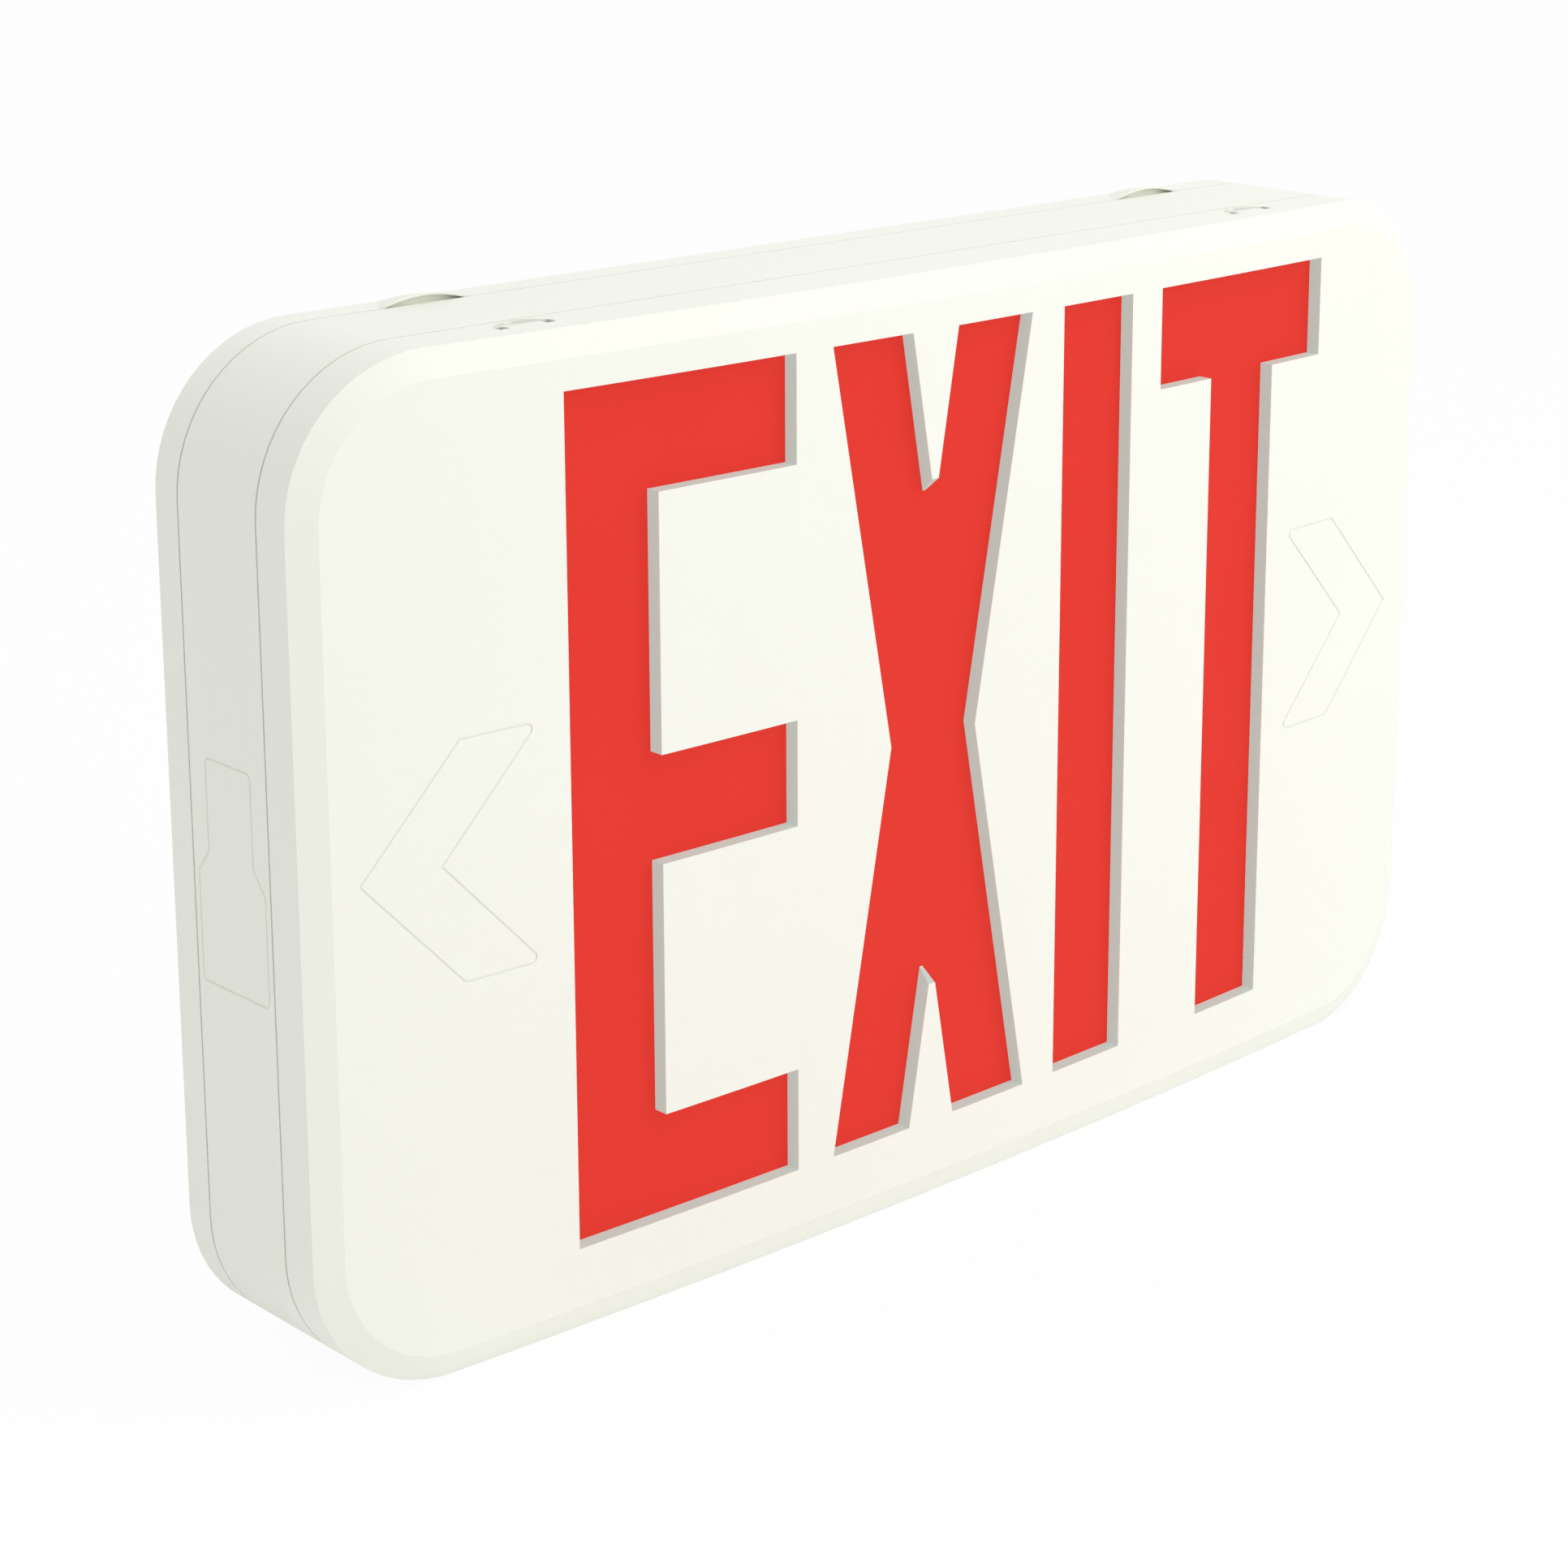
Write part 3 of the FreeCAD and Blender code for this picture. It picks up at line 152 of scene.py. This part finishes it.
class Term:
    """A socket that adds Math nodes when it is used in an expression."""

    def __init__(self, tree, socket):
        self.tree = tree
        self.socket = socket

    def math(self, operation, *others, first=None):
        node = self.tree.nodes.new("ShaderNodeMath")
        node.operation = operation
        for slot, value in enumerate((self if first is None else first,) + others):
            if isinstance(value, Term):
                self.tree.links.new(value.socket, node.inputs[slot])
            else:
                node.inputs[slot].default_value = value
        return Term(self.tree, node.outputs[0])

    def __add__(self, other):
        return self.math("ADD", other)

    __radd__ = __add__

    def __sub__(self, other):
        return self.math("SUBTRACT", other)

    def __rsub__(self, other):
        return self.math("SUBTRACT", self, first=other)

    def __mul__(self, other):
        return self.math("MULTIPLY", other)

    __rmul__ = __mul__

    def __truediv__(self, other):
        return self.math("DIVIDE", other)

    def __gt__(self, other):
        return self.math("GREATER_THAN", other)

    def __lt__(self, other):
        return self.math("LESS_THAN", other)

    def size(self):
        return self.math("ABSOLUTE")

    def fraction(self):
        return self.math("FRACT")

    def clamped(self):
        return self.math("MAXIMUM", 0.0).math("MINIMUM", 1.0)

    def between(self, low, high):
        return (self > low) * (self < high)


class Finish:
    """A material under construction: its tree, its Principled shader and its coordinates."""

    def __init__(self, name):
        self.material = bpy.data.materials.new(name)
        self.material.use_nodes = True
        self.tree = self.material.node_tree
        self.tree.nodes.clear()
        self.output = self.tree.nodes.new("ShaderNodeOutputMaterial")
        self.shader = self.tree.nodes.new("ShaderNodeBsdfPrincipled")
        self.tree.links.new(self.shader.outputs[0], self.output.inputs["Surface"])
        place = self.node("ShaderNodeTexCoord")
        self.place = Term(self.tree, place.outputs["Object"])

    def node(self, kind, settings=None, **sockets):
        node = self.tree.nodes.new(kind)
        for key, value in (settings or {}).items():
            setattr(node, key, value)
        for key, value in sockets.items():
            self.feed(node.inputs[key.replace("_", " ")], value)
        return node

    def feed(self, socket, value):
        if isinstance(value, Term):
            self.tree.links.new(value.socket, socket)
        else:
            socket.default_value = value

    def out(self, node, name):
        return Term(self.tree, node.outputs[name])

    def noise(self, scale, detail=2.0, roughness=0.5):
        node = self.node("ShaderNodeTexNoise", Vector=self.place, Scale=scale, Detail=detail,
                         Roughness=roughness)
        return self.out(node, "Fac")

    def axes(self):
        node = self.node("ShaderNodeSeparateXYZ", Vector=self.place)
        return tuple(self.out(node, axis) for axis in "XYZ")

    def blend(self, share, first, second):
        node = self.node("ShaderNodeMix", {"data_type": "RGBA"})
        self.feed(node.inputs[0], share)
        self.feed(node.inputs[6], (*first, 1.0) if isinstance(first, tuple) else first)
        self.feed(node.inputs[7], (*second, 1.0) if isinstance(second, tuple) else second)
        return Term(self.tree, node.outputs[2])

    def bump(self, height, distance, strength=1.0):
        node = self.node("ShaderNodeBump", Height=height, Distance=distance, Strength=strength)
        self.feed(self.shader.inputs["Normal"], self.out(node, "Normal"))

    def surface(self, **sockets):
        for key, value in sockets.items():
            if key == "Base_Color" and isinstance(value, tuple):
                value = (*value, 1.0)
            self.feed(self.shader.inputs[key.replace("_", " ")], value)
        return self


def shade(srgb):
    """A 0 to 255 display colour as the linear colour that a shader takes."""
    linear = []
    for channel in srgb:
        part = channel / 255.0
        linear.append(part / 12.92 if part <= 0.04045 else ((part + 0.055) / 1.055) ** 2.4)
    return tuple(linear)


def dress(finish, *names):
    for name in names:
        slots = NODES[name].data.materials
        if len(slots) == 0:
            slots.append(finish.material)
        for index in range(len(slots)):
            slots[index] = finish.material


# ---------------------------------------------------------------- finishes

def moulded_white(name, colour, warm, grain):
    """Fine-textured injection moulded plastic with a very slight drift in its tint."""
    finish = Finish(name)
    drift = finish.noise(DRIFT_SCALE, 2.0)
    speck = finish.noise(GRAIN_SCALE, 3.0, 0.6)
    tint = finish.blend(drift, shade(colour), shade(warm))
    finish.surface(Base_Color=tint, Roughness=0.42 + 0.10 * speck, IOR=1.46)
    finish.shader.inputs["Specular IOR Level"].default_value = 0.35
    finish.bump(speck, grain)
    return finish


def plain(name, colour, roughness, metallic=0.0, grain=0.00002, scale=900.0):
    finish = Finish(name)
    speck = finish.noise(scale, 3.0)
    dark = tuple(channel * 0.86 for channel in shade(colour))
    finish.surface(Base_Color=finish.blend(speck, shade(colour), dark),
                   Roughness=roughness + 0.08 * (speck - 0.5))
    finish.shader.inputs["Metallic"].default_value = metallic
    finish.bump(speck, grain)
    return finish


def depth_behind_crown(finish):
    """How far a point lies behind the bowed face, in metres."""
    x, y, z = finish.axes()
    return y - face_low.y - x * x / (2 * CROWN_RADIUS)


def cover_white():
    """The housing's white, with painted grey shade and a faint painted glow on the legend's cut walls, and
    painted shade in the release scoops.
    """
    finish = Finish("white_cover")
    x, y, z = finish.axes()
    drift = finish.noise(DRIFT_SCALE, 2.0)
    speck = finish.noise(GRAIN_SCALE, 3.0, 0.6)
    tint = finish.blend(drift, shade(HOUSING_COOL), shade(HOUSING_WARM))
    depth = depth_behind_crown(finish)
    inside_legend = (x.size() < LEGEND_HALF_WIDTH) * (z.size() < LEGEND_HALF_HEIGHT)
    arrow = (x.size() > ARROW_START) * (z.size() < ARROW_HALF_HEIGHT)
    # Mask of the legend's cut walls, which get painted grey shade and a painted glow.
    painted_wall = depth.between(WALL_FRONT, WALL_REAR) * inside_legend * (1.0 - arrow)
    # Painted shade in the release scoops, darker with depth in the dip and darker still in the blind holes
    # at its ends.
    under_top = frame_high.z - z
    ahead_of_rear_edge = y.between(SCOOP_FRONT, frame_low.y - SEAM_GAP - EDGE_MARGIN)
    near_scoop = ((x.size() - SCOOP_X).size() < SCOOP_REACH) * ahead_of_rear_edge
    dip = ((under_top - SCOOP_SKIN) / SCOOP_DEPTH).clamped() * SCOOP_DIP_SHARE
    hole = (under_top > SCOOP_DEPTH + EDGE_MARGIN) * SCOOP_HOLE_SHARE
    scoop_painted_shade = near_scoop * (under_top < HOLE_FLOOR) * (dip + hole)
    tint_with_wall_shade = finish.blend(painted_wall, tint, shade(CUT_WALL_PAINTED_SHADE))
    finish.surface(Base_Color=finish.blend(scoop_painted_shade, tint_with_wall_shade, shade(SCOOP_SHADE)),
                   Roughness=0.42 + 0.10 * speck, IOR=1.46)
    finish.shader.inputs["Specular IOR Level"].default_value = 0.35
    # Painted glow on the cut walls, greenish so that it cancels the red light bounced onto them from the
    # panel.
    glow = finish.blend(painted_wall, NO_GLOW, CUT_WALL_PAINTED_GLOW)
    finish.surface(Emission_Color=glow)
    finish.shader.inputs["Emission Strength"].default_value = 1.0
    finish.bump(speck, HOUSING_GRAIN)
    return finish


dress(cover_white(), "front_cover")
white = moulded_white("white_housing", HOUSING_COOL, HOUSING_WARM, HOUSING_GRAIN)
dress(white, "middle_frame", "back_plate")
tray_white = moulded_white("white_tray", TRAY_COOL, TRAY_WARM, TRAY_GRAIN)
dress(tray_white, "gear_tray")


def red_with_painted_glow():
    """Translucent red sheet whose front carries a painted glow over a dimmed base colour, standing in for
    even light with no shade from the cut walls.
    """
    finish = Finish("red_panel")
    cloud = finish.noise(30.0, 2.0)
    bright, deep = shade(PANEL_BRIGHT), shade(PANEL_DEEP)
    front = depth_behind_crown(finish) < PANEL_MIDDLE
    dim_bright, dim_deep = (tuple(part * PANEL_BASE_SHARE for part in tone) for tone in (bright, deep))
    dimmed = finish.blend(cloud, dim_bright, dim_deep)
    full = finish.blend(cloud, bright, deep)
    finish.surface(Base_Color=finish.blend(front, full, dimmed), Roughness=0.6)
    # Painted glow on the front face only, standing in for even light.
    finish.surface(Emission_Color=finish.blend(front, NO_GLOW, full))
    finish.shader.inputs["Emission Strength"].default_value = PANEL_PAINTED_GLOW
    finish.shader.inputs["Specular IOR Level"].default_value = 0.05
    return finish


dress(red_with_painted_glow(), "red_legend_panel")


def solder_mask():
    """Green board with slightly paler tracks under the mask."""
    finish = Finish("solder_mask_green")
    x, y, z = finish.axes()
    plane = finish.node("ShaderNodeCombineXYZ", X=x, Y=z)
    tracks = finish.node("ShaderNodeTexBrick", {"offset": 0.37, "squash": 1.6, "squash_frequency": 3},
                         Vector=finish.out(plane, "Vector"), Scale=90.0, Mortar_Size=0.055, Bias=-0.4,
                         Brick_Width=0.9, Row_Height=0.34)
    lines = finish.out(tracks, "Fac")
    finish.surface(Base_Color=finish.blend(lines, shade((22, 84, 46)), shade((58, 128, 74))),
                   Roughness=0.30 + 0.12 * finish.noise(500.0))
    finish.bump(lines, 0.00004)
    return finish


def taped_coil():
    """Dark laminated core with a yellow-taped coil through its window."""
    finish = Finish("taped_coil")
    x, y, z = finish.axes()
    low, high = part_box("transformer")
    middle, window = (low.z + high.z) / 2, (high.z - low.z) * COIL_HALF_SHARE
    coil = ((z - middle).size() < window) * (y < low.y + (high.y - low.y) * COIL_DEPTH_SHARE)
    sheets = ((x / LAMINATION).fraction() - 0.5).size()
    finish.surface(Base_Color=finish.blend(coil, shade((66, 64, 62)), shade((206, 168, 54))),
                   Roughness=0.34 + 0.3 * sheets)
    finish.bump(sheets, 0.00006)
    return finish


def led_package():
    """White package round a well of yellow phosphor."""
    finish = Finish("led_package")
    x, y, z = finish.axes()
    low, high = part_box("lower_leds")
    pitch = (high.x - low.x - LED_LENGTH) / (LED_COUNT - 1)
    along = ((x - low.x - LED_LENGTH / 2) / pitch + 0.5).fraction() * pitch - pitch / 2
    across = y - (low.y + high.y) / 2
    well = (along * along + across * across) < WELL_RADIUS ** 2
    lit = well * (z.size() < sign_high.z - STRIP_EDGE)
    finish.surface(Base_Color=finish.blend(lit, shade((240, 238, 228)), shade((240, 206, 74))),
                   Roughness=0.4 - 0.15 * lit)
    return finish


steel = plain("steel", (176, 176, 180), 0.32, metallic=1.0)
dress(steel, "tray_screws", "board_screws", "strap_screws", "panel_push_nuts")
dress(plain("led_board_white", (238, 238, 232), 0.45), "lower_led_board", "upper_led_board")
dress(solder_mask(), "control_board")
dress(plain("terminal_green", (40, 138, 84), 0.45), "mains_terminal")
dress(plain("fuse_ceramic", (214, 206, 190), 0.35), "fuse_link")
dress(plain("capacitor_brown", (150, 66, 34), 0.35), "film_capacitor")
dress(taped_coil(), "transformer")
dress(plain("sleeve_black", (38, 38, 46), 0.3), "electrolytic_capacitors")
dress(plain("chip_black", (36, 36, 36), 0.5), "control_chip", "test_switch")
dress(plain("nylon_white", (228, 225, 212), 0.5), "battery_header", "strip_headers")
dress(plain("battery_sleeve", (44, 112, 70), 0.3), "battery_pack")
dress(plain("strap_white", (222, 222, 216), 0.5), "battery_strap")
dress(plain("plunger_black", (30, 30, 30), 0.45), "switch_plunger")
dress(plain("button_grey", (206, 206, 204), 0.42), "test_button")
dress(led_package(), "lower_leds", "upper_leds")

lens_red = Finish("charge_light_red")
lens_red.surface(Base_Color=shade((196, 40, 34)), Roughness=0.12)
lens_red.shader.inputs["Transmission Weight"].default_value = 0.35
dress(lens_red, "charge_light")


# ---------------------------------------------------------------- floor, world and lamps

def make_floor():
    mesh = bpy.data.meshes.new("floor")
    shape = bmesh.new()
    bmesh.ops.create_grid(shape, x_segments=2, y_segments=2, size=FLOOR_REACH)
    bmesh.ops.translate(shape, verts=shape.verts, vec=(0.0, 0.0, sign_low.z - FLOOR_GAP))
    shape.to_mesh(mesh)
    shape.free()
    floor = bpy.data.objects.new("floor", mesh)
    bpy.context.scene.collection.objects.link(floor)
    pale = Finish("pale_floor")
    pale.surface(Base_Color=FLOOR_WHITE, Roughness=0.9)
    glow = pale.node("ShaderNodeEmission", Color=PURE_WHITE, Strength=1.0)
    path = pale.node("ShaderNodeLightPath")
    mixed = pale.tree.nodes.new("ShaderNodeMixShader")
    seen = pale.out(path, "Is Camera Ray") * FLOOR_SEEN_SHARE
    mirrored = pale.out(path, "Is Glossy Ray") + pale.out(path, "Is Transmission Ray")
    pale.feed(mixed.inputs[0], (seen + mirrored).clamped())
    pale.tree.links.new(pale.shader.outputs[0], mixed.inputs[1])
    pale.tree.links.new(glow.outputs[0], mixed.inputs[2])
    pale.tree.links.new(mixed.outputs[0], pale.output.inputs["Surface"])
    mesh.materials.append(pale.material)


def make_world():
    world = bpy.data.worlds.new("studio")
    bpy.context.scene.world = world
    world.use_nodes = True
    tree = world.node_tree
    tree.nodes.clear()
    output = tree.nodes.new("ShaderNodeOutputWorld")
    ambient = tree.nodes.new("ShaderNodeBackground")
    ambient.inputs["Color"].default_value = PURE_WHITE
    ambient.inputs["Strength"].default_value = AMBIENT
    backdrop = tree.nodes.new("ShaderNodeBackground")
    backdrop.inputs["Color"].default_value = PURE_WHITE
    backdrop.inputs["Strength"].default_value = 1.0
    path = tree.nodes.new("ShaderNodeLightPath")
    seen = Term(tree, path.outputs["Is Camera Ray"])
    mirrored = Term(tree, path.outputs["Is Glossy Ray"]) + Term(tree, path.outputs["Is Transmission Ray"])
    mixed = tree.nodes.new("ShaderNodeMixShader")
    tree.links.new((seen + mirrored).clamped().socket, mixed.inputs[0])
    tree.links.new(ambient.outputs[0], mixed.inputs[1])
    tree.links.new(backdrop.outputs[0], mixed.inputs[2])
    tree.links.new(mixed.outputs[0], output.inputs["Surface"])


def make_lamp(name, place, aim, size, power):
    data = bpy.data.lights.new(name, "AREA")
    data.shape = "DISK"
    data.size = size
    data.energy = power
    lamp = bpy.data.objects.new(name, data)
    lamp.location = place
    lamp.rotation_mode = "QUATERNION"
    lamp.rotation_quaternion = (Vector(aim) - Vector(place)).to_track_quat("-Z", "Y")
    bpy.context.scene.collection.objects.link(lamp)


make_floor()
make_world()
make_lamp("key", (0.45, -0.9, 0.55), (0, 0, 0), 0.5, 1.73)
make_lamp("side", (0.75, -0.75, 0.35), (0, 0, 0), 0.5, 0.5)
make_lamp("top", (0.2, -0.5, 1.0), (0, 0, 0), 0.6, 2.22)

bpy.context.scene.view_settings.view_transform = "Standard"
